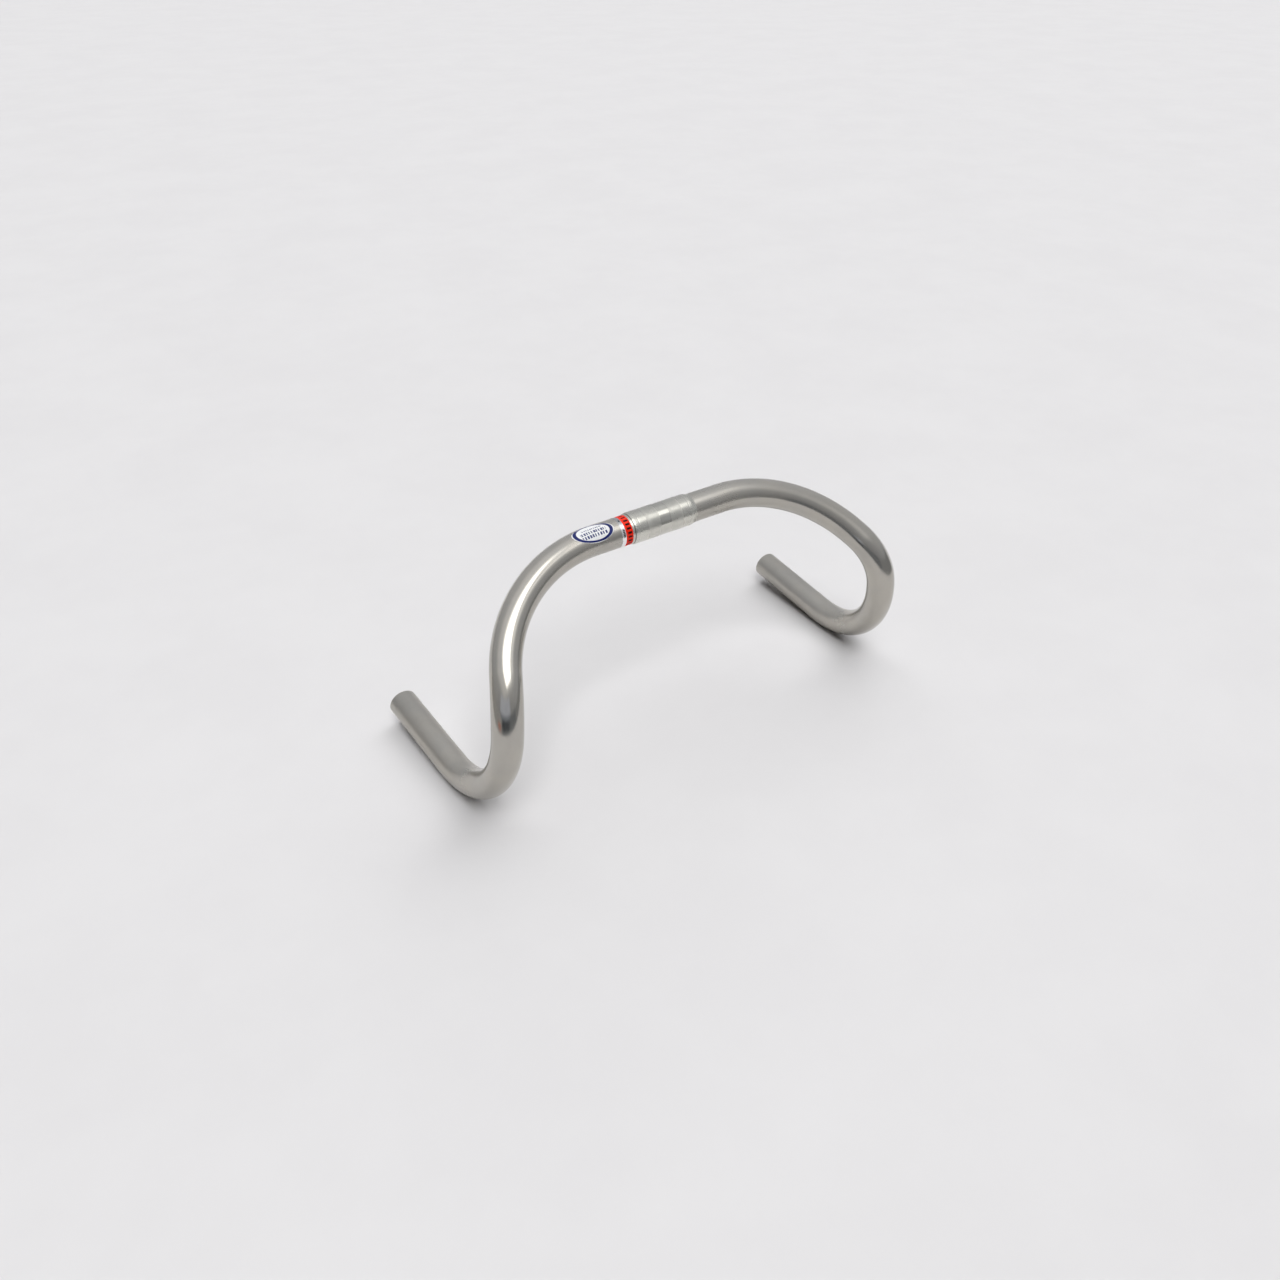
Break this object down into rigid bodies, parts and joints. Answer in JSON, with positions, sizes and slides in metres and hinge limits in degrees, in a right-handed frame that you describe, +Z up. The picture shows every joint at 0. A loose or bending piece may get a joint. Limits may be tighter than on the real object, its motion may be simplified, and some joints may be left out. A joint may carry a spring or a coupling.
{
  "type": "drop handlebar",
  "caption": "Bare aluminium bicycle drop handlebar: a round tube bent forward and down into deep hooks, a thicker clamp sleeve at its middle, and small plain stickers beside it.",
  "frame": {"origin": "middle of the clamp sleeve, on the clamp axis", "axes": "+X along the clamp axis to the side without stickers, -Y forward towards the hooks, +Z up with the drops raised a few degrees at their open ends"},
  "size_m": [0.4228, 0.1806, 0.188],
  "materials": {
    "tube_aluminium": "satin, fine drawn and polished grain along the tube, clear anodised",
    "sleeve_aluminium": "satin, rolled with a faint chequer of small rectangles",
    "band_foil": "glossy printed foil, red with a pale edge strip",
    "oval_sticker": "glossy printed sticker, pale with a dark blue ring"
  },
  "bodies": {
    "root": {"handlebar_tube": "tube_aluminium", "clamp_sleeve": "sleeve_aluminium", "band_label": "band_foil", "oval_label": "oval_sticker"}
  },
  "joints": []
}
